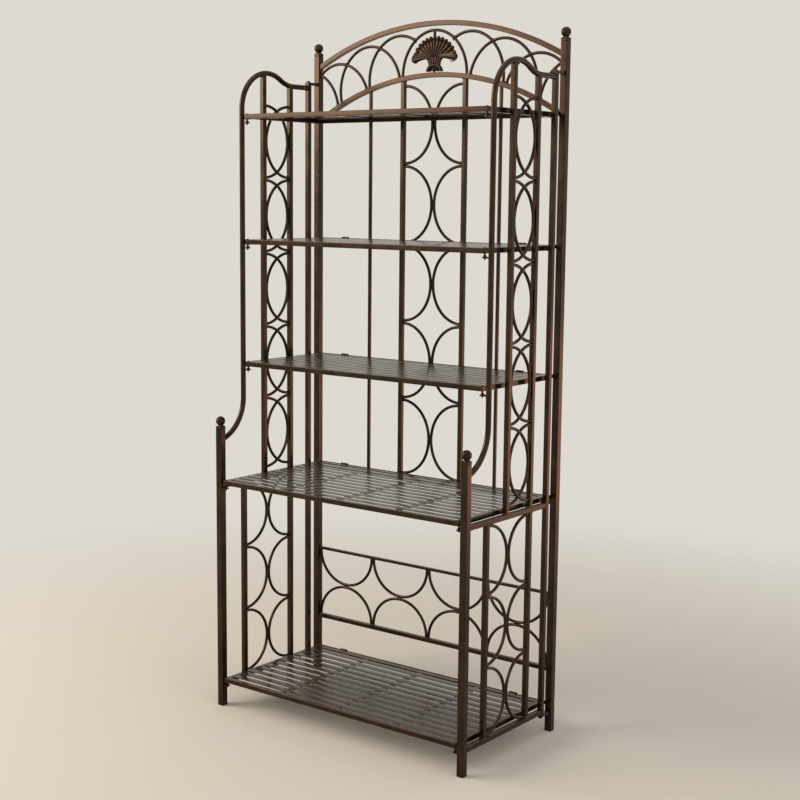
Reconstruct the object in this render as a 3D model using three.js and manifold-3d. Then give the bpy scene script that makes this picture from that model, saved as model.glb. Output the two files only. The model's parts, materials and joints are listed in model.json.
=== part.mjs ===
// A folding bakers rack of painted steel tube: an arched back panel, two side panels that turn on
// upright pins, and five slatted shelves that lift on rods at the back.
// Millimetres, +X to the right, +Y to the back, +Z up, the origin on the floor under the middle.
import * as THREE from "three";
import { mergeVertices } from "three/addons/utils/BufferGeometryUtils.js";
import Module from "manifold-3d";

const wasm = await Module();
wasm.setup();

// Overall sizes, over the posts and up to the crown of the arch
const overallWidth = 813;
const overallDepth = 414;
const overallHeight = 1825;

// Running and welding gaps
const gap = 0.3;
const bite = 0.4;
const overrun = 5;

// Tube and rod sections
const postSize = 19;
const postWall = 1.5;
const barSize = 13;
const barWall = 1.2;
const backBarSize = 12;
const thinBarSize = 8;
const tubeRadius = 7;
const tubeWall = 1.2;
const rodRadius = 4;
const rodSides = 6;
const tubeSides = 8;
const roundSides = 10;

// Arches of the back panel: how far the posts and the lower crown stay below the top, and each arch's rise
const postTopDrop = 72;
const upperArchRise = 95.5;
const lowerArchDrop = 138;
const lowerArchRise = 109;
const archSteps = 20;

// Levels to the middle of the bar: the lowest shelf over the floor, the top one under the lower arch's
// ends, the others as shares of the way between, and the rails under the shelves that they carry
const lowestShelfLevel = 73;
const topShelfDrop = 3;
const middleShelfShares = [0.7836, 0.5679, 0.3615];
const midRailDrop = 10.2;
const bottomRailDrop = 10.2;
const lowerTopRailLevel = 365;
const lowerBottomRailLevel = 165;
const frontPostRise = 143;

// Loops between the arches, whose pitch is a share of the half width between the posts
const loopPitchShare = 0.2761;
const loopHeight = 114;
const outerLoopRise = 24;
const loopFootDegrees = 20;
const brokenLoopPlace = 1.06;
const loopOverTopDegrees = 30;
const lastLoop = 4;
const loopSteps = 8;

// Back bars, placed by shares of the same half width, and their scrolls
const thickBarShare = 0.258;
const thinBarShare = 0.5445;
const backScrollTopGap = 22;
const backScrollBottomGap = 12.2;
const backScrollCount = 5;
const lowerScrollCount = 4;

// Side panels: the bent tube's place as a share of the depth over the posts, and the inner bars' places as
// shares of the way from that tube back to the hinge post
const hingeSetback = 43.9;
const bentTubeShare = 0.2215;
const innerFrontBarShare = 0.311;
const innerRearBarShare = 0.7113;
const bendTopDrop = 132;
const bendDip = 28.5;
const bendRadius = 98;
const sweepRadius = 110;
const sweepRise = 77;
const bendSteps = 6;
const sideScrollTopGap = 52.5;
const sideScrollBottomGap = 23.2;
const sideScrollCount = 5;
const sideLowerScrollCount = 3;
const scrollSteps = 8;

// Upright hinges of the side panels
const lugThickness = 7;
const lugGap = 0.5;
const pinRadius = 3.5;
const pinReach = 25;
const pinHeadRadius = 5;
const pinHeadHeight = 4.5;
const plugDepth = 30;

// Shelves
const shelfEndGap = 5;
const shelfRail = 13;
const hingeRise = 3;
const hingeRingWall = 3;
const hingeRingLength = 20;
const hingeRingOffset = 290;
const slatWidth = 24;
const slatPitch = 31.5;
const slatThickness = 1.6;
const strapWidth = 16;
const strapThickness = 3;
const strapOffset = 188;
const ventRadius = 2;

// Lock pins under a shelf's front corners, and the slotted catch plates that they drop into
const lockPinRadius = 2.5;
const lockPinInset = 4;
const lockPinTip = 4;
const lockCollarRadius = 4.5;
const lockCollarHeight = 3;
const catchReach = 13;
const catchWidth = 14;
const catchThickness = 3;
const catchDrop = 8;
const catchPlay = 1.5;

// Ball finials
const ballRadius = 12.5;
const neckRadius = 6;
const neckHeight = 0.4;
const collarHeight = 8;

// Fan ornament
const fanReach = 66;
const fanRibs = 9;
const fanSpreadDegrees = 128;
const fanRibWidth = 9.5;
const fanThickness = 11;
const fanBaseWidth = 56;
const fanNeckWidth = 42;
const fanBaseHeight = 26;
const fanFlareShare = 0.67;
const fanLobeReach = 74;
const fanLobeRise = 6;
const fanLobeRadius = 20;

// Places that follow from those sizes
const sideX = (overallWidth - postSize) / 2;
const postY = (overallDepth - postSize) / 2;
const innerX = sideX - postSize / 2;
const hingeY = postY - barSize / 2 - rodRadius - gap;
const shelfHalfWidth = innerX - shelfEndGap;
const rodHalf = rodRadius * Math.cos(Math.PI / rodSides);
const upperArchCrown = overallHeight - barSize / 2;
const lowerArchCrown = overallHeight - lowerArchDrop;
const lowerArchSpring = lowerArchCrown - lowerArchRise;
const backPostTop = overallHeight - postTopDrop;
const topShelfLevel = lowerArchSpring - topShelfDrop;
const shelfSpan = topShelfLevel - lowestShelfLevel;
const middleLevels = middleShelfShares.map((share) => lowestShelfLevel + shelfSpan * share);
const shelfLevels = [topShelfLevel, ...middleLevels, lowestShelfLevel];
const midRailLevel = middleLevels.at(-1) - midRailDrop;
const bottomRailLevel = lowestShelfLevel - bottomRailDrop;
const frontPostTop = middleLevels.at(-1) + frontPostRise;
const loopPitch = innerX * loopPitchShare;
const thickBarOffset = innerX * thickBarShare;
const thinBarOffset = innerX * thinBarShare;
const sideHingeY = postY - hingeSetback;
const bentTubeY = -postY + postY * 2 * bentTubeShare;
const innerFrontBarY = bentTubeY + (sideHingeY - bentTubeY) * innerFrontBarShare;
const innerRearBarY = bentTubeY + (sideHingeY - bentTubeY) * innerRearBarShare;
const bendTop = overallHeight - bendTopDrop;
const bendFlat = bendTop - bendDip;
const sweepLevel = frontPostTop + sweepRise;
const rearPostTop = bendFlat + tubeRadius;
const rearPostBottom = bottomRailLevel - barSize / 2;

const v = (x, y, z) => new THREE.Vector3(x, y, z);
const axisX = v(1, 0, 0);
const axisY = v(0, 1, 0);
const axisZ = v(0, 0, 1);

// Finishes
const bronze = new THREE.MeshStandardMaterial({ color: 0x35261d, roughness: 0.34, metalness: 0.6 });
const slatBronze = new THREE.MeshStandardMaterial({ color: 0x3b2c24, roughness: 0.3, metalness: 0.6 });
const castBronze = new THREE.MeshStandardMaterial({ color: 0x2a1c17, roughness: 0.42, metalness: 0.5 });
const pinSteel = new THREE.MeshStandardMaterial({ color: 0x241b16, roughness: 0.4, metalness: 0.7 });

// A closed solid from a closed geometry
function toSolid(geometry) {
  geometry.deleteAttribute("normal");
  geometry.deleteAttribute("uv");
  const merged = mergeVertices(geometry);
  const vertProperties = merged.attributes.position.array;
  const triVerts = new Uint32Array(merged.index.array);
  return new wasm.Manifold(new wasm.Mesh({ numProp: 3, vertProperties, triVerts }));
}

// A named mesh from a solid, in its own copy of a finish
function addPart(group, name, solid, finish) {
  const cut = solid.getMesh();
  const geometry = new THREE.BufferGeometry();
  geometry.setAttribute("position", new THREE.BufferAttribute(cut.vertProperties, 3));
  geometry.setIndex(new THREE.BufferAttribute(cut.triVerts, 1));
  geometry.computeVertexNormals();
  const mesh = new THREE.Mesh(geometry, finish.clone());
  mesh.name = name;
  group.add(mesh);
}

function join(solids) {
  return solids.reduce((whole, piece) => whole.add(piece));
}

// The largest of the bodies that a cut leaves
function largest(solid) {
  return solid.decompose().reduce((best, piece) => (piece.volume() > best.volume() ? piece : best));
}

function squarePoints(size) {
  const half = size / 2;
  const corners = [[half, -half], [half, half], [-half, half], [-half, -half]];
  return corners.map(([x, y]) => new THREE.Vector2(x, y));
}

function roundPoints(radius, sides) {
  return Array.from({ length: sides }, (_, i) => {
    const angle = (i / sides) * Math.PI * 2;
    return new THREE.Vector2(radius * Math.cos(angle), radius * Math.sin(angle));
  });
}

function section(outer, inner) {
  const shape = new THREE.Shape(outer);
  if (inner) shape.holes.push(new THREE.Path(inner));
  return shape;
}

const rodSection = section(roundPoints(rodRadius, rodSides));
const squareTube = (size, wall) => section(squarePoints(size), squarePoints(size - wall * 2));

// A straight length of a section between two points
function straight(shape, from, to) {
  const depth = from.distanceTo(to);
  const geometry = new THREE.ExtrudeGeometry(shape, { depth, bevelEnabled: false });
  const direction = to.clone().sub(from).normalize();
  geometry.applyQuaternion(new THREE.Quaternion().setFromUnitVectors(axisZ, direction));
  return toSolid(geometry.translate(from.x, from.y, from.z));
}

// A section carried along a curve
function sweep(shape, curve, steps) {
  return toSolid(new THREE.ExtrudeGeometry(shape, { steps, bevelEnabled: false, extrudePath: curve }));
}

function block(low, high) {
  const size = high.clone().sub(low);
  const middle = high.clone().add(low).multiplyScalar(0.5);
  const geometry = new THREE.BoxGeometry(size.x, size.y, size.z);
  return toSolid(geometry.translate(middle.x, middle.y, middle.z));
}

function rod(radius, from, to, sides = roundSides) {
  return straight(section(roundPoints(radius, sides)), from, to);
}

// Part of an oval: the centre plus across and along, each with its own half size
class Oval extends THREE.Curve {
  constructor(centre, across, along, start = -Math.PI / 2, end = Math.PI / 2) {
    super();
    Object.assign(this, { centre, across, along, start, end });
  }

  getPoint(t, target = new THREE.Vector3()) {
    const angle = this.start + (this.end - this.start) * t;
    target.copy(this.centre).addScaledVector(this.across, Math.cos(angle));
    return target.addScaledVector(this.along, Math.sin(angle));
  }
}

// A route through given points, with one step of the sweep at each of them
class Route extends THREE.Curve {
  constructor(points) {
    super();
    this.points = points;
  }

  getUtoTmapping(u) {
    return u;
  }

  getPoint(t, target = new THREE.Vector3()) {
    const last = this.points.length - 1;
    const place = Math.min(Math.max(t, 0), 1) * last;
    const i = Math.min(Math.floor(place), last - 1);
    return target.lerpVectors(this.points[i], this.points[i + 1], place - i);
  }
}

// A row of half ovals along a bar, side by side and joined where their ends meet
function scrollRow(start, along, across, count, pitch, reach) {
  return Array.from({ length: count }, (_, i) => {
    const centre = start.clone().addScaledVector(along, pitch * (i + 0.5));
    const half = along.clone().multiplyScalar(pitch / 2 - rodHalf + bite / 2);
    const bulge = across.clone().multiplyScalar(reach);
    return sweep(rodSection, new Oval(centre, bulge, half), scrollSteps);
  });
}

// Back panel

// The circle of an arch from its crown, its rise and half its span
function archCircle(crown, rise, halfSpan) {
  const radius = (halfSpan ** 2 + rise ** 2) / (rise * 2);
  return { radius, centreZ: crown - radius, angle: Math.asin(halfSpan / radius) };
}

const upperArch = archCircle(upperArchCrown, upperArchRise, innerX);
const lowerArch = archCircle(lowerArchCrown, lowerArchRise, innerX);

function archBar(arch, size, wall) {
  const reach = arch.angle + overrun / arch.radius;
  const centre = v(0, postY, arch.centreZ);
  const along = v(arch.radius, 0, 0);
  const up = v(0, 0, arch.radius);
  const shape = wall ? squareTube(size, wall) : section(squarePoints(size));
  return sweep(shape, new Oval(centre, up, along, -reach, reach), archSteps);
}

function archHeight(arch, x) {
  return arch.centreZ + Math.sqrt(arch.radius ** 2 - Math.min(Math.abs(x), sideX) ** 2);
}

// The two back posts with a gap all round, for trimming what ends against them
function postClearance() {
  const half = postSize / 2 + gap;
  return join([-1, 1].map((side) => {
    const low = v(side * sideX - half, postY - half, 0);
    return block(low, v(side * sideX + half, postY + half, overallHeight));
  }));
}

function pinHole(z0, z1) {
  return rod(pinRadius + gap, v(0, sideHingeY, z0 - overrun), v(0, sideHingeY, z1 + overrun));
}

// A hollow post, closed at the foot, with the two lugs that carry a side panel
function backPost() {
  const outer = straight(section(squarePoints(postSize)), v(0, postY, 0), v(0, postY, backPostTop));
  const bore = section(squarePoints(postSize - postWall * 2));
  const hollow = straight(bore, v(0, postY, postWall), v(0, postY, backPostTop + overrun));
  const front = sideHingeY - barSize / 2;
  const back = postY - postSize / 2 + postWall / 2;
  const lugs = [rearPostTop + lugGap, rearPostBottom - lugGap - lugThickness].map((z) => {
    const plate = block(v(-barSize / 2, front, z), v(barSize / 2, back, z + lugThickness));
    return plate.subtract(pinHole(z, z + lugThickness));
  });
  return join([outer.subtract(hollow), ...lugs]);
}

// A headed pin through a lug and into the end of a hinge post, from above or from below
function hingePin(end, outward) {
  const seat = end + outward * (lugGap + lugThickness + gap);
  const length = (from, to) => [Math.min(from, to), Math.max(from, to)].map((z) => v(0, sideHingeY, z));
  const shank = rod(pinRadius, ...length(seat, end - outward * pinReach));
  return shank.add(rod(pinHeadRadius, ...length(seat, seat + outward * pinHeadHeight)));
}

// A turned ball on a short neck and a square collar, standing on a post's top
function finial(y, top) {
  const collar = straight(section(squarePoints(postSize)), v(0, y, top), v(0, y, top + collarHeight));
  const ballCentre = top + collarHeight + neckHeight + ballRadius;
  const neck = rod(neckRadius, v(0, y, top + collarHeight - bite), v(0, y, ballCentre), tubeSides);
  const ball = new THREE.SphereGeometry(ballRadius, tubeSides, rodSides);
  return join([collar, neck, toSolid(ball.rotateX(Math.PI / 2).translate(0, y, ballCentre))]);
}

// One loop between the arches, at a number of pitches from the middle
function loop(place, start, end, rise = 0, shape = rodSection) {
  const x = place * loopPitch;
  const centre = v(x, postY, archHeight(lowerArch, x) + rise);
  const along = v(loopPitch - rodHalf + bite / 2, 0, 0);
  return sweep(shape, new Oval(centre, v(0, 0, loopHeight), along, start, end), loopSteps);
}

// Loops that stand on the lower arch and overlap by half, cut where posts and arch stop them. The second
// from the middle curl back in at their outer feet, and so do the next ones in, which are broken at the top.
function archLoops() {
  const quarter = Math.PI / 2;
  const overTop = THREE.MathUtils.degToRad(loopOverTopDegrees);
  const past = quarter + THREE.MathUtils.degToRad(loopFootDegrees);
  const whole = [1 - lastLoop, 0, lastLoop - 1].map((place) => loop(place, -quarter, quarter));
  const curled = [loop(-2, -past, quarter), loop(2, -quarter, past)];
  const broken = [loop(-brokenLoopPlace, -past, overTop), loop(brokenLoopPlace, -overTop, past)];
  const outer = [loop(-lastLoop, 0, quarter, outerLoopRise), loop(lastLoop, -quarter, 0, outerLoopRise)];
  const loops = join([...whole, ...curled, ...broken, ...outer]);
  const beyond = [-1, 1].map((side) => {
    const edge = side * (innerX - gap);
    const far = side * (sideX + loopPitch * 2);
    const low = v(Math.min(edge, far), postY - postSize, 0);
    return block(low, v(Math.max(edge, far), postY + postSize, overallHeight));
  });
  const arches = [archBar(lowerArch, barSize + gap * 2), archBar(upperArch, barSize + gap * 2)];
  const under = block(v(-sideX, postY - postSize, 0), v(sideX, postY + postSize, lowerArchSpring));
  const belowArch = new THREE.CylinderGeometry(lowerArch.radius, lowerArch.radius, postSize, archSteps * 4);
  const disc = toSolid(belowArch.translate(0, postY, lowerArch.centreZ));
  return loops.subtract(join([...arches, ...beyond, under, disc]));
}

// A cast fan of ribs between two rolled lobes, on a flared base with a stub rod to the loop above
function fanOrnament() {
  const baseZ = archHeight(lowerArch, 0) + barSize / 2 + gap;
  const hubZ = baseZ + fanBaseHeight;
  const spread = THREE.MathUtils.degToRad(fanSpreadDegrees);
  const ribs = Array.from({ length: fanRibs }, (_, i) => {
    const angle = spread * (i / (fanRibs - 1) - 0.5);
    const rib = new THREE.SphereGeometry(1, tubeSides, rodSides);
    rib.scale(fanRibWidth, fanThickness / 2, fanReach / 2).translate(0, 0, fanReach / 2);
    return toSolid(rib.rotateY(angle).translate(0, postY, hubZ));
  });
  const lobes = [-1, 1].map((side) => {
    const lobe = new THREE.SphereGeometry(1, tubeSides, rodSides);
    lobe.scale(fanLobeReach / 2, fanThickness / 2, fanLobeRadius / 2);
    lobe.rotateY(-side * Math.atan2(fanLobeRise, fanLobeReach));
    return toSolid(lobe.translate((side * fanLobeReach) / 2, postY, hubZ + fanLobeRadius / 2));
  });
  const flare = [
    [fanBaseWidth / 2, baseZ],
    [fanNeckWidth / 2, baseZ + fanBaseHeight * fanFlareShare],
    [fanNeckWidth / 2, hubZ + fanRibWidth],
  ];
  const outline = [...flare, ...flare.map(([x, z]) => [-x, z]).reverse()];
  const plate = new THREE.Shape(outline.map(([x, z]) => new THREE.Vector2(x, z)));
  const base = new THREE.ExtrudeGeometry(plate, { depth: fanThickness, bevelEnabled: false });
  const baseSolid = toSolid(base.rotateX(Math.PI / 2).translate(0, postY + fanThickness / 2, 0));
  const stubTop = archHeight(lowerArch, 0) + loopHeight;
  const stub = rod(rodRadius, v(0, postY, hubZ + fanReach / 2), v(0, postY, stubTop), rodSides);
  const clearance = section(roundPoints(rodRadius + gap, rodSides));
  const middleLoop = loop(0, -Math.PI / 2, Math.PI / 2, 0, clearance);
  return largest(join([baseSolid, ...ribs, ...lobes, stub]).subtract(middleLoop));
}

function buildBackPanel(root) {
  const back = new THREE.Group();
  root.add(back);
  const sides = { left: -1, right: 1 };
  for (const [name, side] of Object.entries(sides)) {
    const corner = new THREE.Group();
    corner.position.x = side * sideX;
    back.add(corner);
    addPart(corner, `back_post_${name}`, backPost(), bronze);
    addPart(corner, `back_finial_${name}`, finial(postY, backPostTop), castBronze);
    addPart(corner, `upper_hinge_pin_${name}`, hingePin(rearPostTop, 1), pinSteel);
    addPart(corner, `lower_hinge_pin_${name}`, hingePin(rearPostBottom, -1), pinSteel);
  }

  const posts = postClearance();
  const lowerArchTrim = archBar(lowerArch, barSize + gap * 2);
  addPart(back, "upper_arch", archBar(upperArch, barSize, barWall).subtract(posts), bronze);
  addPart(back, "lower_arch", archBar(lowerArch, barSize, barWall).subtract(posts), bronze);
  addPart(back, "arch_loops", archLoops(), bronze);
  addPart(back, "fan_ornament", fanOrnament(), castBronze);

  const end = innerX - gap;
  const railTop = midRailLevel + barSize / 2 + gap;
  const crossRail = (size, z) => straight(squareTube(size, barWall), v(-end, postY, z), v(end, postY, z));
  addPart(back, "back_mid_rail", crossRail(barSize, midRailLevel), bronze);
  const uprights = [["thick", backBarSize, thickBarOffset], ["thin", thinBarSize, thinBarOffset]];
  for (const [name, side] of Object.entries(sides)) {
    for (const [kind, size, offset] of uprights) {
      const x = side * offset;
      const top = v(x, postY, archHeight(lowerArch, x));
      const bar = straight(squareTube(size, barWall), v(x, postY, railTop), top);
      addPart(back, `back_${kind}_bar_${name}`, bar.subtract(lowerArchTrim), bronze);
    }
  }

  const backScrollBottom = midRailLevel + backScrollBottomGap;
  const backPitch = (lowerArchCrown - backScrollTopGap - backScrollBottom) / backScrollCount;
  const face = thickBarOffset - backBarSize / 2 - gap;
  const backScroll = Object.values(sides).flatMap((side) => {
    const start = v(side * face, postY, backScrollBottom);
    return scrollRow(start, axisZ, v(-side, 0, 0), backScrollCount, backPitch, face - rodHalf + bite / 2);
  });
  addPart(back, "back_scrollwork", join(backScroll), bronze);

  const lowerPitch = (end * 2) / lowerScrollCount;
  const lowerTop = lowerTopRailLevel - thinBarSize / 2 - gap;
  const lowerBottom = lowerBottomRailLevel + backBarSize / 2 + gap;
  const lowerReach = (lowerTop - lowerBottom) / 2 - rodHalf + bite / 2;
  addPart(back, "lower_back_top_rail", crossRail(thinBarSize, lowerTopRailLevel), bronze);
  addPart(back, "lower_back_bottom_rail", crossRail(backBarSize, lowerBottomRailLevel), bronze);
  const rows = [[lowerTop, v(0, 0, -1)], [lowerBottom, axisZ]].flatMap(([z, across]) =>
    scrollRow(v(-end, postY, z), axisX, across, lowerScrollCount, lowerPitch, lowerReach));
  addPart(back, "lower_back_scrollwork", join(rows), bronze);

  shelfLevels.forEach((level, i) => {
    const z = level + hingeRise;
    const hingeRod = rod(rodRadius, v(-end, hingeY, z), v(end, hingeY, z));
    addPart(back, `shelf_${i + 1}_hinge_rod`, hingeRod, pinSteel);
  });
}

// Side panels

const isDeep = (level) => level < frontPostTop;
const shelfFrontY = (level) => (isDeep(level) ? -postY : bentTubeY);

// A plate out from the middle of a post or tube, under a shelf's front corner, with a slot for the lock
// pin that is open on the inner side
function catchPlate(level, inward) {
  const top = level - shelfRail / 2 - catchDrop;
  const y = shelfFrontY(level);
  const plank = (from, to, half, low, high) =>
    block(v(Math.min(from, to), y - half, low), v(Math.max(from, to), y + half, high));
  const plate = plank(0, inward * (postSize / 2 + catchReach), catchWidth / 2, top - catchThickness, top);
  const pinX = inward * (sideX - shelfHalfWidth + lockPinInset);
  const half = lockPinRadius + catchPlay;
  const ends = [top - catchThickness - overrun, top + overrun];
  const mouth = plank(pinX, inward * (postSize + catchReach), half, ...ends);
  return plate.subtract(mouth.add(rod(half, ...ends.map((z) => v(pinX, y, z)))));
}

// The middle line of the bent tube: back post end, hump, front leg and the sweep into the front post
function bentRoute() {
  const turn = Math.acos(1 - bendDip / 2 / bendRadius);
  const topY = bentTubeY + bendRadius;
  const flatY = topY + bendRadius * Math.sin(turn) * 2;
  const arc = (centreY, centreZ, radius, from, to, steps) => Array.from({ length: steps + 1 }, (_, i) => {
    const angle = from + ((to - from) * i) / steps;
    return v(0, centreY + radius * Math.sin(angle), centreZ + radius * Math.cos(angle));
  });
  const short = Math.ceil(bendSteps / 2);
  const dip = arc(flatY, bendFlat + bendRadius, bendRadius, Math.PI, Math.PI + turn, short);
  const hump = arc(topY, bendTop - bendRadius, bendRadius, turn, -Math.PI / 2, bendSteps + short);
  const sweepOut = arc(bentTubeY - sweepRadius, sweepLevel, sweepRadius, Math.PI / 2, Math.PI, bendSteps);
  const start = v(0, sideHingeY - barSize / 2 - gap, bendFlat);
  return [start, ...dip, ...hump.slice(1), ...sweepOut];
}

function bentTube(radius, wall) {
  const points = bentRoute();
  const inner = wall ? roundPoints(radius - wall, rodSides) : null;
  return sweep(section(roundPoints(radius, tubeSides), inner), new Route(points), points.length - 1);
}

// The hinge post of a side panel, hollow but for a bored plug at each end
function rearPost() {
  const length = (size, inset) => {
    const from = v(0, sideHingeY, rearPostBottom + inset);
    return straight(section(squarePoints(size)), from, v(0, sideHingeY, rearPostTop - inset));
  };
  const hollow = length(barSize - barWall * 2, plugDepth).add(pinHole(rearPostBottom, rearPostTop));
  return length(barSize, 0).subtract(hollow);
}

function frontPost(inward) {
  const outer = straight(section(squarePoints(postSize)), v(0, -postY, 0), v(0, -postY, frontPostTop));
  const bore = section(squarePoints(postSize - postWall * 2));
  const hollow = straight(bore, v(0, -postY, postWall), v(0, -postY, frontPostTop + overrun));
  const catches = shelfLevels.filter(isDeep).map((level) => catchPlate(level, inward));
  return join([outer, ...catches]).subtract(hollow);
}

function buildSidePanel(root, name, side) {
  const panel = new THREE.Group();
  panel.position.x = side * sideX;
  root.add(panel);
  const add = (part, solid, finish = bronze) => addPart(panel, `${name}_${part}`, solid, finish);
  const tubeTrim = bentTube(tubeRadius + gap);
  const trimHigh = v(postSize, -postY + postSize / 2 + gap, frontPostTop);
  const frontTrim = block(v(-postSize, -postY - sweepRadius, 0), trimHigh);
  const shallow = shelfLevels.filter((level) => !isDeep(level));
  const catches = shallow.map((level) => catchPlate(level, -side));
  const catchTrim = bentTube(tubeRadius - tubeWall);

  add("front_post", frontPost(-side));
  add("front_finial", finial(-postY, frontPostTop), castBronze);
  add("rear_post", rearPost());
  const shell = bentTube(tubeRadius, tubeWall).subtract(frontTrim);
  add("bent_tube", join([shell, ...catches.map((plate) => plate.subtract(catchTrim))]));

  const tube = squareTube(barSize, barWall);
  const railFrom = -postY + postSize / 2 + gap;
  const railTo = sideHingeY - barSize / 2 - gap;
  const rail = (z) => straight(tube, v(0, railFrom, z), v(0, railTo, z));
  add("mid_rail", rail(midRailLevel));
  add("bottom_rail", rail(bottomRailLevel));

  const half = barSize / 2 + gap;
  const upperBar = (y) => straight(tube, v(0, y, midRailLevel + half), v(0, y, bendTop)).subtract(tubeTrim);
  add("inner_front_bar", largest(upperBar(innerFrontBarY)));
  add("inner_rear_bar", largest(upperBar(innerRearBarY)));
  const lowerBar = (y) => straight(tube, v(0, y, bottomRailLevel + half), v(0, y, midRailLevel - half));
  add("lower_front_bar", lowerBar(bentTubeY));
  add("lower_rear_bar", lowerBar(innerRearBarY));

  const sideScrollBottom = midRailLevel + sideScrollBottomGap;
  const pitch = (bendFlat - sideScrollTopGap - sideScrollBottom) / sideScrollCount;
  const clear = innerRearBarY - innerFrontBarY - half * 2;
  const bars = [[innerFrontBarY + half, axisY], [innerRearBarY - half, v(0, -1, 0)]];
  const crossing = bars.flatMap(([y, across]) =>
    scrollRow(v(0, y, sideScrollBottom), axisZ, across, sideScrollCount, pitch, clear - rodHalf));
  add("upper_scrollwork", join(crossing));

  const lowClear = innerRearBarY - bentTubeY - half * 2;
  const lowHeight = midRailLevel - bottomRailLevel - half * 2;
  const lowBars = [[bentTubeY + half, axisY], [innerRearBarY - half, v(0, -1, 0)]];
  const lowReach = lowClear / 2 - rodHalf + bite / 2;
  const touching = lowBars.flatMap(([y, across]) => {
    const start = v(0, y, bottomRailLevel + half);
    return scrollRow(start, axisZ, across, sideLowerScrollCount, lowHeight / sideLowerScrollCount, lowReach);
  });
  add("lower_scrollwork", join(touching));
}

// Shelves, each in a group on its own hinge line, with hollow rails that a small hole vents

function buildShelf(root, index, level) {
  const shelf = new THREE.Group();
  shelf.position.set(0, hingeY, level + hingeRise);
  root.add(shelf);
  const half = shelfRail / 2;
  const front = shelfFrontY(level) - hingeY;
  const ringRadius = rodRadius + gap + hingeRingWall;
  const rear = bite - ringRadius - half;
  const z = -hingeRise;
  const endX = shelfHalfWidth - half;

  const ring = (size, reach) => join([
    ...[front, rear].map((y) => straight(section(squarePoints(size)), v(-reach, y, z), v(reach, y, z))),
    ...[-endX, endX].map((x) => straight(section(squarePoints(size)), v(x, front, z), v(x, rear, z))),
  ]);
  const vent = rod(ventRadius, v(0, rear, z - half - overrun), v(0, rear, z));
  const hollow = ring(shelfRail - barWall * 2, shelfHalfWidth - barWall).add(vent);
  const rings = [-hingeRingOffset, hingeRingOffset].map((x) => {
    const low = x - hingeRingLength / 2;
    return rod(ringRadius, v(low, 0, 0), v(low + hingeRingLength, 0, 0));
  });
  const seat = z - half - catchDrop + gap;
  const pins = [-1, 1].map((side) => {
    const x = side * (shelfHalfWidth - lockPinInset);
    const tip = seat - gap - catchThickness - lockPinTip;
    const collar = rod(lockCollarRadius, v(x, front, seat), v(x, front, seat + lockCollarHeight), tubeSides);
    return collar.add(rod(lockPinRadius, v(x, front, tip), v(x, front, z), tubeSides));
  });
  const bore = rod(rodRadius + gap, v(-shelfHalfWidth - overrun, 0, 0), v(shelfHalfWidth + overrun, 0, 0));
  const outer = join([ring(shelfRail, shelfHalfWidth), ...rings, ...pins]);
  addPart(shelf, `shelf_${index}_frame`, outer.subtract(bore).subtract(hollow), bronze);

  const inside = rear - front - shelfRail;
  const count = Math.round((inside - gap * 2) / slatPitch);
  const space = (inside - gap * 2 - slatWidth * count) / (count + 1);
  const slatEnd = endX - half - gap;
  const top = z + half;
  const slats = Array.from({ length: count }, (_, i) => {
    const y = front + half + gap + space + i * (slatWidth + space);
    return block(v(-slatEnd, y, top - slatThickness), v(slatEnd, y + slatWidth, top));
  });
  const straps = [-strapOffset, 0, strapOffset].map((x) => {
    const high = top - slatThickness + bite;
    const low = v(x - strapWidth / 2, front + half + gap, high - strapThickness);
    return block(low, v(x + strapWidth / 2, rear - half - gap, high));
  });
  addPart(shelf, `shelf_${index}_slats`, join([...slats, ...straps]), slatBronze);
}

const rack = new THREE.Group();
buildBackPanel(rack);
buildSidePanel(rack, "left", -1);
buildSidePanel(rack, "right", 1);
shelfLevels.forEach((level, i) => buildShelf(rack, i + 1, level));

export default rack;
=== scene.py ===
import itertools
import json
import math

import bpy
import numpy as np
from bpy.props import FloatProperty, FloatVectorProperty, IntProperty, PointerProperty
from mathutils import Matrix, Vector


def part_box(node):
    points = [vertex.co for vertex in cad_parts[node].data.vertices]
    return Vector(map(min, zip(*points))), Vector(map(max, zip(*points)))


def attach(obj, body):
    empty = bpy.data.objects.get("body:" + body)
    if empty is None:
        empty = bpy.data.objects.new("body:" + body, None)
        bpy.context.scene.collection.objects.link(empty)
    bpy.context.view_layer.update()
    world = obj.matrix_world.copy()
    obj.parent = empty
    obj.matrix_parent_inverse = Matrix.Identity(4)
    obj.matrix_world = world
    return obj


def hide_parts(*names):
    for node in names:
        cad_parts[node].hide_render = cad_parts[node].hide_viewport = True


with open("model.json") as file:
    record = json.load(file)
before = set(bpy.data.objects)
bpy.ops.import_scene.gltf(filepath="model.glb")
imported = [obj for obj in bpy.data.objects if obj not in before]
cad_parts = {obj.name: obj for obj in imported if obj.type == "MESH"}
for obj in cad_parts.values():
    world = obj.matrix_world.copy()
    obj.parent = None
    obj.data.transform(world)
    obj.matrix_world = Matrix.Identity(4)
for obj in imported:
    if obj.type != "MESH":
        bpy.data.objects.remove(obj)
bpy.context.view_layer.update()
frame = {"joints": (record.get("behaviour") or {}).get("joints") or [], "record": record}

bl_info = {
    "name": "Bakers rack",
    "version": (1, 0, 0),
    "blender": (4, 5, 0),
    "location": "3D View > Sidebar > Rack",
    "description": "Finished surfaces of a folding bakers rack of painted steel tube",
    "category": "Add Mesh",
}

# Names of the frame
BODIES = frame["record"]["behaviour"]["bodies"]
BODY_OF = {node: body for body, nodes in BODIES.items() for node in nodes}
SLOT_OF = {part["node"]: part["material_slot"] for part in frame["record"]["subparts"]}
HINGES = {joint["name"]: np.array(joint["pos_m"], float) for joint in frame["joints"]}
SIDES = (("left", -1), ("right", 1))
SHELVES = (1, 2, 3, 4, 5)
DEEP_SHELVES = (4, 5)
X, Y, Z = np.eye(3)
QUARTER = math.pi / 2

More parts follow.
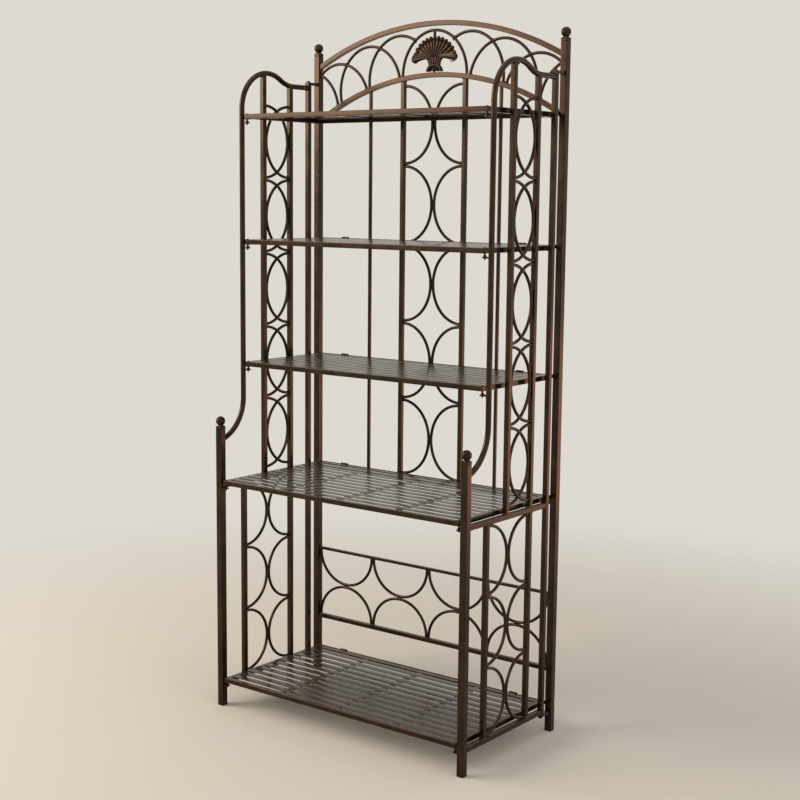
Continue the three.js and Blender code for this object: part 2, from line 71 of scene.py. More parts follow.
# Fits in metres: the gap that a weld fills, how far touching rods bite into each other, and the air
# between a lug and the hinge post
HAIR = 0.0003
BITE = 0.0004
LUG_GAP = 0.0005

# Fittings in metres
LUG_THICK = 0.007
PIN_HOLE = 0.0038
CATCH_DROP = 0.008
PLATE_THICK = 0.003
SHELF_HALF = 0.376
HINGE_OVER_SHELF = 0.003
HINGE_RING_PLACE = 0.29
LOCK_PIN_PLACE = 0.3785
STRAP_PLACE = 0.188
FINIAL_PLUG = 0.008
FAN_HUB = 0.0295

# Short welds: radius as a share of the one given, half length in metres, ripples, and how rubbed they are,
# which also paints a highlight on them
WELDS = {
    "lug": (1, 0.006, 5, 0),
    "outer_lug": (1.8, 0.006, 5, 0),
    "catch": (1, 0.006, 4, 0),
    "loop_foot": (0.8, 0.003, 2, 0.7),
    "loop_crossing": (1.2, 0.002, 2, 0),
    "scroll_tip": (1.6, 0.006, 3, 0),
    "hinge_ring": (1.3, 0.008, 5, 0),
    "mitre": (1.4, 0.005, 3, 0),
    "mitre_under": (1.1, 0.005, 4, 0),
}
# How much the ripples swell a short weld and a weld ring, and how small the rings at a scroll's feet are
WELD_SWELL = 0.14
RING_SWELL = 0.16
FOOT_WELD = 0.8

# Faces that meet at more than this angle keep a hard edge
SHARP = math.radians(40)
# What a length is divided by at least
NEVER_ZERO = 1e-9

# The camera: its place in metres, its yaw to the left, pitch down and roll in degrees, lens and sensor in mm
CAMERA_PLACE = (2.3196, -2.9574, 1.3807)
CAMERA_TURN = (37.517, 8.004, 0.549)
CAMERA_LENS = 66.17
CAMERA_SENSOR = 36


def linear(text):
    """Linear colour of an sRGB hex value: each part over 12.92 when small, else the part plus 0.055,
    over 1.055, to the power 2.4."""
    parts = np.array([int(text[i:i + 2], 16) for i in (1, 3, 5)]) / 255
    return tuple(np.where(parts <= 0.04045, parts / 12.92, ((parts + 0.055) / 1.055) ** 2.4))


def length(name, description, default):
    return FloatProperty(name=name, description=description, default=default, min=0.0, unit="LENGTH")


def whole_number(name, description, default, least):
    return IntProperty(name=name, description=description, default=default, min=least)


def colour(name, description, text):
    return FloatVectorProperty(name=name, description=description, default=linear(text), subtype="COLOR",
                               min=0.0, max=1.0)


class RackSizes(bpy.types.PropertyGroup):
    post: length("Post", "Width of the square posts", 0.019)
    post_corner: length("Post corner", "Radius of the posts' corners", 0.0021)
    side_bar: length("Side bar", "Width of the square bars, rails and arches", 0.013)
    back_bar: length("Back bar", "Width of the thick square bars of the back", 0.012)
    thin_bar: length("Thin bar", "Width of the thin square bars of the back", 0.008)
    bar_corner: length("Bar corner", "Radius of the bars' corners", 0.0015)
    rod: length("Rod", "Radius of the rods in the scrolls, loops and hinges", 0.004)
    bent_tube: length("Bent tube", "Radius of the bent tube of a side panel", 0.007)
    upper_rise: length("Upper arch rise", "Height of the upper arch over its ends", 0.0955)
    lower_rise: length("Lower arch rise", "Height of the lower arch over its ends", 0.109)
    loop_pitch: length("Loop pitch", "Distance between the loops of the crest", 0.10699)
    loop_height: length("Loop height", "Height of a loop over the lower arch", 0.114)
    outer_loop_rise: length("Outer loop rise", "How much higher the outermost loops start", 0.024)
    bend: length("Bend", "Radius of the bent tube's hump", 0.098)
    bend_dip: length("Bend dip", "How far the bent tube drops from its hump to the back", 0.0285)
    foot_bend: length("Foot bend", "Radius of the bend into the front post", 0.11)
    foot_bend_rise: length("Foot bend rise", "Height of that bend over the front post", 0.077)
    slat: length("Slat", "Width of a shelf's slats", 0.024)
    slat_pitch: length("Slat pitch", "Distance between the slats", 0.0315)
    slat_crown: length("Slat crown", "How much a slat's middle stands over its edges", 0.0005)
    weld: length("Weld", "Radius of the weld beads", 0.0012)
    corner_steps: whole_number("Corner steps", "Faces round a tube's corner", 4, 1)
    rod_sides: whole_number("Rod sides", "Faces round a rod", 14, 6)


class RackColours(bpy.types.PropertyGroup):
    coat: colour("Coat", "Dark bronze powder coat", "#29190b")
    coat_light: colour("Light coat", "Lighter clouds in the coat", "#392613")
    # Copper of rubbed edges: partly real wear, partly a painted highlight along edges and ridges
    rub_and_highlight: colour("Rub", "Where edges are rubbed", "#5c4631")
    # Darker coat of the castings. The lighter rubbed ridges leave it showing in the grooves as painted
    # shade.
    cast: colour("Casting", "Coat in the hollows of the castings", "#22160b")
    floor: colour("Floor", "Studio floor", "#d9d5cd")
    backdrop: colour("Backdrop", "Studio background", "#dedad2")


# Surfaces

def loft(rings, edge=0.0, closed=False):
    """A closed skin over rings of points. Each ring closes on itself, and a quad joins two neighbours of
    a ring with the same two of the next. The rings close too, or the mean of each end ring closes that
    end. The sign of the enclosed volume says which way the faces turn."""
    rows, columns = rings.shape[:2]
    i = np.arange(rows if closed else rows - 1)[:, None] * columns
    j = np.arange(columns)[None, :]
    k = (j + 1) % columns
    n = (i + columns) % (rows * columns)
    quads = np.stack(np.broadcast_arrays(i + j, n + j, n + k, i + k), -1).reshape(-1, 4)
    points = rings.reshape(-1, 3)
    tris = np.empty((0, 3), int)
    if not closed:
        j, k, last = j[0], k[0], (rows - 1) * columns
        start, end = np.full(columns, len(points)), np.full(columns, len(points) + 1)
        tris = np.concatenate([np.stack([k, start, j], -1), np.stack([last + j, end, last + k], -1)])
        points = np.concatenate([points, rings[[0, -1]].mean(1)])
    edges = np.zeros(len(points))
    edges[:rows * columns] = np.broadcast_to(edge, (rows, columns)).ravel()
    flat = np.concatenate([quads[:, :3], quads[:, [0, 2, 3]], tris])
    a, b, c = (points - points.mean(0))[flat].transpose(1, 0, 2)
    if np.einsum("ij,ij", a, np.cross(b, c)) < 0:
        quads, tris = quads[:, ::-1], tris[:, ::-1]
    return points, quads, tris, edges


def rays(angle):
    """Flat points one away from the middle: the cosine and the sine of each angle."""
    return np.stack([np.cos(angle), np.sin(angle)], -1)


def rounded_square(size, corner, steps):
    """Four quarter circles of the corner's radius, each centred that radius in from a corner of the square.
    The edge value is the sine of twice the turn, so it is one on the bend and zero on the flats. It places
    the rubbed copper, which also paints a highlight on the bend."""
    turn = np.linspace(0, QUARTER, steps + 1)
    quarter = np.arange(4) * QUARTER
    middle = np.repeat(quarter + QUARTER / 2, steps + 1)
    inset = (size / 2 - corner) * math.sqrt(2)
    profile = inset * rays(middle) + corner * rays((quarter[:, None] + turn).ravel())
    return profile, np.tile(np.sin(turn * 2), 4)


def round_section(radius, sides):
    """A circle: the radius times the cosine and the sine of equal steps of angle."""
    return radius * rays(np.arange(sides) * math.tau / sides), np.zeros(sides)


def carry(section, path, across, scale=1.0):
    """A flat profile carried along a path that lies in a plane: the path's point, plus the profile's first
    number times the tangent crossed with the plane's normal, plus its second number times that normal."""
    profile, edge = section
    tangent = np.gradient(path, axis=0)
    tangent /= np.linalg.norm(tangent, axis=1, keepdims=True)
    side = np.cross(tangent, across)
    scale = np.broadcast_to(scale, len(path))[:, None, None]
    rings = path[:, None] + scale * (profile[:, :1] * side[:, None] + profile[:, 1:] * across)
    return loft(rings, edge)


def straight(section, start, end, across, cut=0.0005):
    """A profile carried from start to end, drawn in by the cut over the same length at both ends."""
    start, end = np.array(start, float), np.array(end, float)
    step = (end - start) / np.linalg.norm(end - start) * cut
    drawn = 1 - cut / np.abs(section[0]).max()
    return carry(section, np.array([start, start + step, end - step, end]), across, [drawn, 1, 1, drawn])


def oval(centre, across, along, start, end, steps):
    """Points of part of an oval: the centre, plus across times the angle's cosine, plus along times
    its sine."""
    angle = np.linspace(start, end, steps + 1)[:, None]
    return centre + across * np.cos(angle) + along * np.sin(angle)


def turned(profile, base, sides):
    """Pairs of radius and height turned on an upright axis: the radius times the cosine and the sine of
    the angle, at the height."""
    profile = np.array(profile, float)
    flat = profile[:, None, :1] * rays(-np.arange(sides) * math.tau / sides)
    height = np.broadcast_to(profile[:, None, 1:], (len(profile), sides, 1))
    return loft(base + np.concatenate([flat, height], -1))


def dome(radius, height, steps):
    """Radii and heights of a quarter of an oval, from its rim up to just short of its pole."""
    return rays(np.linspace(0, QUARTER, steps + 1)[:-1]) * [radius, height]


def at_height(outline, z):
    return np.column_stack([outline, np.full(len(outline), z)])


def plate_round(inner, outer, low, high, closed):
    """A plate between two outlines with the same number of points: at each of them, a ring of four corners
    joins the inner and the outer outline at the plate's low and high faces."""
    corners = [(inner, low), (inner, high), (outer, high), (outer, low)]
    return loft(np.stack([at_height(line, z) for line, z in corners], 1), closed=closed)


def to_box(ray, half_x, half_y):
    """Where rays from the middle leave a box: each ray times the smaller of half the box's sizes over the
    ray's own parts."""
    along = np.minimum(half_x / np.maximum(abs(ray[:, 0]), NEVER_ZERO),
                       half_y / np.maximum(abs(ray[:, 1]), NEVER_ZERO))
    return ray * along[:, None]


def weld_ring(outline, centre, u, v, radius, ripples):
    """A bead laid round an outline in the plane of u and v. Round the bead, the angle's cosine moves the
    point away from the outline's middle, and its sine moves it off the plane. The bead's radius swells by
    a share times the cosine of the ripples' angle along the outline."""
    rows = len(outline)
    angle = np.arange(6)[:, None] * math.tau / 6
    swell = 1 + RING_SWELL * np.cos(np.arange(rows) * math.tau * ripples / rows)
    thick = radius * swell[:, None, None]
    outward = outline / np.linalg.norm(outline, axis=1, keepdims=True)
    normal = np.cross(u, v)
    flat = outline[:, None] + thick * np.cos(angle) * outward[:, None]
    rise = thick * np.sin(angle) * normal / np.linalg.norm(normal)
    return loft(centre + flat[..., :1] * u + flat[..., 1:] * v + rise, closed=True)


def bead(kind, spot, along, radius):
    """A short lumpy weld over a spot: circles round a line along it. Their radius is the sine of the angle
    from end to end, to the power 0.6, swollen by a share times the cosine of the ripples' angle."""
    share, half, ripples, rubbed = WELDS[kind]
    radius = radius * share
    axis = along / np.linalg.norm(along)
    reach = np.linalg.norm(along) * half + radius
    u = np.cross(axis, X if abs(axis[0]) < 0.9 else Y)
    u /= np.linalg.norm(u)
    v = np.cross(axis, u)
    blunt = 0.12
    turn = np.linspace(blunt, math.pi - blunt, 9)[:, None, None]
    angle = (np.arange(8) * math.tau / 8)[None, :, None]
    size = radius * np.sin(turn) ** 0.6 * (1 + WELD_SWELL * np.cos(turn * 2 * ripples))
    rings = spot - axis * reach * np.cos(turn) + size * (np.cos(angle) * u + np.sin(angle) * v)
    return loft(rings, rubbed)


# Meshes

def corner_normals(points, quads, tris):
    """Each face corner's normal is the sum of the area vectors of the faces that share its vertex and turn
    less than the sharp angle from its own, made one long."""
    corners = np.concatenate([quads.ravel(), tris.ravel()])
    face = np.repeat(np.arange(len(quads) + len(tris)), [4] * len(quads) + [3] * len(tris))
    q, t = points[quads], points[tris]
    area = np.concatenate([np.cross(q[:, 2] - q[:, 0], q[:, 3] - q[:, 1]),
                           np.cross(t[:, 1] - t[:, 0], t[:, 2] - t[:, 0])])
    tiny = 1e-18
    unit = area / np.maximum(np.linalg.norm(area, axis=1, keepdims=True), tiny)
    order = np.argsort(corners, kind="stable")
    place = corners[order]
    start = np.searchsorted(place, place, "left")
    shared = np.searchsorted(place, place, "right") - start
    first = np.repeat(np.arange(len(corners)), shared)
    second = np.repeat(start - np.cumsum(shared) + shared, shared) + np.arange(shared.sum())
    own, other = face[order[first]], face[order[second]]
    near = np.einsum("ij,ij->i", unit[own], unit[other]) > math.cos(SHARP)
    first, nearby = first[near], area[other[near]]
    total = np.stack([np.bincount(first, nearby[:, axis], len(corners)) for axis in range(3)], -1)
    normals = np.empty_like(total)
    normals[order] = total / np.maximum(np.linalg.norm(total, axis=1, keepdims=True), tiny)
    return corners, normals


def skin(name, parts, coat):
    """One mesh object from closed parts, with smooth normals and an edge attribute."""
    points, edges = (np.concatenate([part[i] for part in parts]) for i in (0, 3))
    offsets = np.cumsum([0] + [len(part[0]) for part in parts[:-1]])
    quads, tris = (np.concatenate([part[i] + n for part, n in zip(parts, offsets)]) for i in (1, 2))
    corners, normals = corner_normals(points, quads, tris)
    mesh = bpy.data.meshes.new(name)
    mesh.vertices.add(len(points))
    mesh.vertices.foreach_set("co", points.astype(np.float32).ravel())
    mesh.loops.add(len(corners))
    mesh.loops.foreach_set("vertex_index", corners.astype(np.int32))
    mesh.polygons.add(len(quads) + len(tris))
    starts = np.concatenate([np.arange(len(quads)) * 4, len(quads) * 4 + np.arange(len(tris)) * 3])
    mesh.polygons.foreach_set("loop_start", starts.astype(np.int32))
    mesh.update(calc_edges=True)
    mesh.polygons.foreach_set("use_smooth", np.ones(len(mesh.polygons), bool))
    mesh.normals_split_custom_set(normals)
    mesh.attributes.new("edge", "FLOAT", "POINT").data.foreach_set("value", edges.astype(np.float32))
    mesh.materials.append(coat)
    if mesh.validate():
        raise RuntimeError(f"{name} has faces that can't stand")
    piece = bpy.data.objects.new(name, mesh)
    bpy.context.scene.collection.objects.link(piece)
    return piece


def finished(node, parts):
    """The finished surface that stands for a node of the frame, in the finish of its material slot."""
    piece = skin(f"{node}_finished", parts, finish(SLOT_OF[node]))
    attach(piece, BODY_OF[node])
    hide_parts(node)


def corners_of(node):
    low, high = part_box(node)
    return np.array(low), np.array(high)


def centre_of(node):
    return sum(corners_of(node)) / 2


# Finishes

def add_node(tree, kind, values=None, links=None, **settings):
    """Adds a node with its own settings, the values of its sockets and the links into them."""
    node = tree.nodes.new(kind)
    for name, value in settings.items():
        setattr(node, name, value)
    for socket, value in (values or {}).items():
        node.inputs[socket].default_value = value
    for socket, source in (links or {}).items():
        tree.links.new(source, node.inputs[socket])
    return node


def emptied(owner):
    """The node tree of a material or a world, without its first nodes."""
    owner.use_nodes = True
    owner.node_tree.nodes.clear()
    return owner.node_tree


# Clouds in the coat are about 45 mm across, the orange peel 4 mm and drawn no finer so that it shows, and
# rubbed spots along the edges about 9 mm long. These spots are partly wear and partly a painted highlight
# along the edges. The peel is 0.2 mm deep.
CLOUD = 0.045
PEEL = 0.004
SPOT = 0.009
PEEL_DEPTH = 0.0002


def powder_coat(name, dark, light, rub_and_highlight, metallic, roughness, peel, clear):
    """Bronze powder coat, baked on: a dark brown film with metal flake that mirrors its surroundings softly,
    with a faint orange peel, lighter clouds where it is thin, and copper showing where edges are rubbed.
    That copper is partly real wear and partly a painted highlight along edges and ridges, and it leaves
    painted shade in the grooves of the castings."""
    made = bpy.data.materials.new(name)
    tree = emptied(made)
    place = add_node(tree, "ShaderNodeTexCoord").outputs["Object"]
    cloud, spot, grain = (
        add_node(tree, "ShaderNodeTexNoise", {"Scale": 1 / size, "Detail": detail, "Roughness": rough},
                 {"Vector": place}).outputs["Fac"]
        for size, detail, rough in ((CLOUD, 4.0, 0.6), (SPOT, 3.0, 0.5), (PEEL, 1.0, 0.5)))
    thin, worn, dull = (
        add_node(tree, "ShaderNodeMapRange",
                 {"From Min": low, "From Max": high, "To Min": bottom, "To Max": top},
                 {"Value": source}).outputs["Result"]
        for source, low, high, bottom, top in ((cloud, 0.42, 0.68, 0, 1), (spot, 0.54, 0.74, 0, 1),
                                               (cloud, 0.3, 0.7, roughness - 0.05, roughness + 0.07)))
    film = add_node(tree, "ShaderNodeMix", {"A": (*dark, 1), "B": (*light, 1)}, {"Factor": thin},
                    data_type="RGBA").outputs["Result"]
    # Edge attribute times the spots gives rubbed copper. It is partly edge wear and partly a painted
    # highlight on rounded corners, slat edges and casting ridges.
    edge = add_node(tree, "ShaderNodeAttribute", attribute_name="edge").outputs["Fac"]
    rubbed = add_node(tree, "ShaderNodeMath", links={0: edge, 1: worn}, operation="MULTIPLY").outputs[0]
    coat = add_node(tree, "ShaderNodeMix", {"B": (*rub_and_highlight, 1)}, {"A": film, "Factor": rubbed},
                    data_type="RGBA").outputs["Result"]
    bump = add_node(tree, "ShaderNodeBump", {"Strength": peel, "Distance": PEEL_DEPTH}, {"Height": grain})
    shader = add_node(tree, "ShaderNodeBsdfPrincipled",
                      {"Metallic": metallic, "Coat Weight": clear, "Coat Roughness": 0.12},
                      {"Base Color": coat, "Roughness": dull, "Normal": bump.outputs["Normal"]})
    add_node(tree, "ShaderNodeOutputMaterial", links={"Surface": shader.outputs[0]})
    return made


def finish(slot):
    """The finish of a material slot of the record, made the first time that it is asked for: its name, dark
    and light tone, metallic, roughness, strength of the orange peel and clear coat."""
    tones = bpy.context.scene.rack_colours
    kinds = {
        # A smooth baked film on drawn tube, which shows long soft streaks of light
        "frame_bronze": ("bronze_powder_coat_on_tube", tones.coat, tones.coat_light, 0.76, 0.27, 0.07, 0.12),
        # The same film pooled on flat strip: glossier, with broad soft reflections
        "slat_bronze": ("bronze_powder_coat_on_slats", tones.coat, tones.coat_light, 0.7, 0.26, 0.15, 0.2),
        # The film over a rough casting: darker, with painted shade left in the hollows where the ridges are
        # lighter, and a broken and duller shine
        "cast_bronze": ("bronze_coat_on_castings", tones.cast, tones.coat_light, 0.7, 0.32, 0.35, 0.0),
        # Paint that turning parts have worn: dull, with copper showing in clouds
        "pin_steel": ("worn_bronze_paint_on_pins", tones.coat, tones.rub_and_highlight, 0.8, 0.38, 0.3, 0.0),
    }
    name, dark, light, *rest = kinds[slot]
    return bpy.data.materials.get(name) or powder_coat(name, dark[:], light[:], tones.rub_and_highlight[:], *rest)


# Parts that several pieces share

def post_section(sizes):
    return rounded_square(sizes.post, sizes.post_corner, sizes.corner_steps)


def post_tube(sizes, x, y, top):
    """A square tube that stands on the floor, its foot's rim a little drawn in."""
    return straight(post_section(sizes), [x, y, 0], [x, y, top], Y, cut=0.0012)


def square_bar(sizes, width):
    """Section of a square bar, and the outline that its welds follow."""
    section, outline = (rounded_square(width, sizes.bar_corner, steps) for steps in (sizes.corner_steps, 3))
    return section, outline[0]


def round_bar(radius, sides, weld_sides):
    """Section of a round bar, and the outline that its welds follow."""
    return round_section(radius, sides), round_section(radius, weld_sides)[0]


def bar_parts(sizes, node, bar, ripples, welds=(True, True)):
    """A bar along the longest side of its node's box, with a weld bead round each joined end."""
    section, outline = bar
    low, high = corners_of(node)
    axis = int(np.argmax(high - low))
    start, end = centre_of(node), centre_of(node)
    start[axis], end[axis] = low[axis] - HAIR, high[axis] + HAIR
    u, v = np.eye(3)[(axis + 1) % 3], np.eye(3)[(axis + 2) % 3]
    joined = [place for place, shown in zip((start, end), welds) if shown]
    return [straight(section, start, end, u),
            *(weld_ring(outline, place, u, v, sizes.weld, ripples) for place in joined)]


def scroll_rows(sizes, node, along, across, count, share=0.5, tip_welds=False):
    """Two facing rows of half ovals of rod that fill their node's box. The ovals of a row stand side by side
    on a bar, with a small weld at each foot, and reach over the given share of the way to the other bar."""
    low, high = corners_of(node)
    section, outline = round_bar(sizes.rod, sizes.rod_sides, 12)
    pitch, clear = (high - low) @ along / count, (high - low) @ across
    half = along * (pitch / 2 - sizes.rod + BITE / 2)
    middles = [centre_of(node) + along * pitch * (i + 0.5 - count / 2) for i in range(count)]
    parts = []
    for inward in (across, -across):
        normal = np.cross(along, inward)
        for middle in middles:
            foot = middle - inward * clear / 2
            path = oval(foot, inward * (clear * share - sizes.rod), half, -QUARTER, QUARTER, steps=30)
            parts.append(carry(section, path, normal))
            parts += [weld_ring(outline, foot + end * half, along, normal, sizes.weld * FOOT_WELD, ripples=5)
                      for end in (-1, 1)]
    if tip_welds:
        parts += [bead("scroll_tip", middle, along, sizes.weld) for middle in middles]
    return parts


def shelf_level(number):
    return HINGES[f"shelf_{number}_hinge"][2] - HINGE_OVER_SHELF


def catch_plate(sizes, x, y, top, inward):
    """A plate under a shelf's front corner with a slot that is open on the inner side. The slot's outline
    is a half circle between two straight sides, and rays from its middle meet the plate's outline."""
    half, slot, middle, stand_out = 0.007, 0.004, 0.0185, 0.013
    near, far = sizes.post / 2 - HAIR, sizes.post / 2 + stand_out
    ray = rays(np.linspace(QUARTER, QUARTER * 3, 13))
    inner = np.concatenate([[[far, slot]], [middle, 0] + slot * ray, [[far, -slot]]])
    outer = np.concatenate([[[far, half]], [middle, 0] + to_box(ray, middle - near, half), [[far, -half]]])
    inner, outer = (line * [inward, 1] + [x, y] for line in (inner, outer))
    return plate_round(inner, outer, top - PLATE_THICK, top, closed=False)


def catches(sizes, side_name, side, numbers):
    """Catch plates of some shelves, each welded from below to the post or a little into the round tube."""
    x = centre_of(f"{side_name}_rear_post")[0]
    round_face = sizes.bent_tube - 0.0005
    parts = []
    for number in numbers:
        front = corners_of(f"shelf_{number}_frame")[0][1] + sizes.side_bar / 2
        top = shelf_level(number) - sizes.side_bar / 2 - CATCH_DROP
        face = x - side * (sizes.post / 2 if number in DEEP_SHELVES else round_face)
        parts += [catch_plate(sizes, x, front, top, -side),
                  bead("catch", [face, front, top - PLATE_THICK], Y, sizes.weld)]
    return parts


def finial_parts(sizes, node):
    """A square plug with a rounded top edge, a short neck, and a ball turned on it."""
    low, high = corners_of(node)
    x, y = (low + high)[:2] / 2
    ball = (high[0] - low[0]) / 2
    middle = high[2] - low[2] - ball
    rise = FINIAL_PLUG - np.array([FINIAL_PLUG, 0.0022, 0.0012, 0.0004, 0])
    cap = carry(post_section(sizes), at_height(np.full((5, 2), [x, y]), low[2] + rise), Y,
                scale=[1, 1, 0.97, 0.9, 0.78])
    neck = [[0.0084, FINIAL_PLUG - 0.0006], [0.0078, FINIAL_PLUG + 0.0006]]
    sphere = [0, middle] + ball * rays(np.linspace(-0.98, QUARTER - 0.06, 18))
    return [cap, turned([*neck, *sphere], [x, y, low[2]], sides=28)]


# Operators

class RACK_OT_back_posts(bpy.types.Operator):
    """Back posts with the lugs that carry the side panels"""
    bl_idname = "rack.back_posts"
    bl_label = "Back posts"

    def execute(self, context):
        sizes = context.scene.rack_sizes
        for name, _ in SIDES:
            node = f"back_post_{name}"
            x, y = centre_of(f"back_finial_{name}")[:2]
            face = y - sizes.post / 2
            low, high = corners_of(f"{name}_rear_post")
            parts = [post_tube(sizes, x, y, corners_of(node)[1][2])]
            for z, outer in ((high[2] + LUG_GAP, LUG_THICK), (low[2] - LUG_GAP - LUG_THICK, 0)):
                parts.append(self.lug(sizes, (low + high)[:2] / 2, face + HAIR, z))
                for rise in (0, LUG_THICK):
                    kind = "outer_lug" if rise == outer else "lug"
                    parts.append(bead(kind, [x, face, z + rise], X, sizes.weld))
            finished(node, parts)
        return {"FINISHED"}

    @staticmethod
    def lug(sizes, hole, face, z):
        """A plate that runs from the post's face round the pin's hole: rays from the hole's middle meet the
        plate's outline."""
        ray = rays(-np.arange(40) * math.tau / 40)
        half = sizes.side_bar / 2
        outer = to_box(ray, half, np.where(ray[:, 1] > 0, face - hole[1], half))
        return plate_round(hole + ray * PIN_HOLE, hole + outer, z, z + LUG_THICK, closed=True)


class RACK_OT_finials(bpy.types.Operator):
    """Cast ball finials on the four posts"""
    bl_idname = "rack.finials"
    bl_label = "Ball finials"

    def execute(self, context):
        sizes = context.scene.rack_sizes
        for name, _ in SIDES:
            for node in (f"back_finial_{name}", f"{name}_front_finial"):
                finished(node, finial_parts(sizes, node))
        return {"FINISHED"}


def arch_circle(node, rise, width):
    """Radius and height of the middle of an arch from its crown, its rise and half its span, with that half
    and the arch's place from front to back."""
    low, high = corners_of(node)
    half = high[0] + HAIR
    radius = (half ** 2 + rise ** 2) / (rise * 2)
    return radius, high[2] - width / 2 - radius, half, (low + high)[1] / 2


class RACK_OT_arches(bpy.types.Operator):
    """Upper and lower arch of the back"""
    bl_idname = "rack.arches"
    bl_label = "Arches"

    def execute(self, context):
        sizes = context.scene.rack_sizes
        section, outline = square_bar(sizes, sizes.side_bar)
        into_post = 0.004
        for node, rise in (("upper_arch", sizes.upper_rise), ("lower_arch", sizes.lower_rise)):
            radius, middle, half, y = arch_circle(node, rise, sizes.side_bar)
            turn = math.asin((half + into_post) / radius)
            path = oval(np.array([0, y, middle]), Z * radius, X * radius, -turn, turn, steps=96)
            parts = [carry(section, path, Y)]
            slope = math.asin(half / radius)
            for side in (-1, 1):
                place = np.array([side * half, y, middle + radius * math.cos(slope)])
                parts.append(weld_ring(outline, place, Y, Z / math.cos(slope), sizes.weld, ripples=11))
            finished(node, parts)
        return {"FINISHED"}


class RACK_OT_arch_loops(bpy.types.Operator):
    """Overlapping loops of rod between the arches"""
    bl_idname = "rack.arch_loops"
    bl_label = "Loops of the crest"

    def execute(self, context):
        sizes = context.scene.rack_sizes
        section = round_section(sizes.rod, sizes.rod_sides)
        paths, surface, over = self.paths(sizes)
        touch, clear = 0.002, 0.01
        parts = []
        for path in paths:
            parts.append(carry(section, path, Y))
            near = np.abs(over(path) - surface)
            if near.min() < touch:
                parts.append(bead("loop_foot", path[near.argmin()], X, sizes.rod))
        for one, other in itertools.combinations(paths, 2):
            apart = np.linalg.norm(one[:, None] - other[None], axis=2)
            spot = one[np.unravel_index(apart.argmin(), apart.shape)[0]]
            if apart.min() < touch and over(spot[None])[0] > surface + clear:
                parts.append(bead("loop_crossing", spot, Z, sizes.rod))
        finished("arch_loops", parts)
        return {"FINISHED"}

    @staticmethod
    def paths(sizes):
        """The loops' paths, cut off at the posts and the lower arch, the radius of that arch's upper face,
        and the function that tells how far points are from the arch's middle. A loop is part of an oval
        that stands on the arch, and its place is counted in pitches from the crown."""
        radius, middle, half, y = arch_circle("lower_arch", sizes.lower_rise, sizes.side_bar)
        along = X * (sizes.loop_pitch - sizes.rod + BITE / 2)
        lean, past = math.radians(30), math.radians(110)
        outer, inner = (-4, 0, QUARTER, sizes.outer_loop_rise), (-1.06, -past, lean, 0)
        left = [outer, (-3, -QUARTER, QUARTER, 0), (-2, -past, QUARTER, 0), inner]
        right = [(-place, -end, -start, rise) for place, start, end, rise in reversed(left)]

        def over(points):
            return np.hypot(points[:, 0], points[:, 2] - middle)

        paths = []
        for place, start, end, rise in (*left, (0, -QUARTER, QUARTER, 0), *right):
            x = place * sizes.loop_pitch
            foot = middle + np.sqrt(radius ** 2 - min(abs(x), half + sizes.post / 2) ** 2) + rise
            path = oval(np.array([x, y, foot]), Z * sizes.loop_height, along, start, end, steps=160)
            paths.append(path[(abs(path[:, 0]) < half + HAIR) & (over(path) > radius)])
        return paths, radius + sizes.side_bar / 2, over


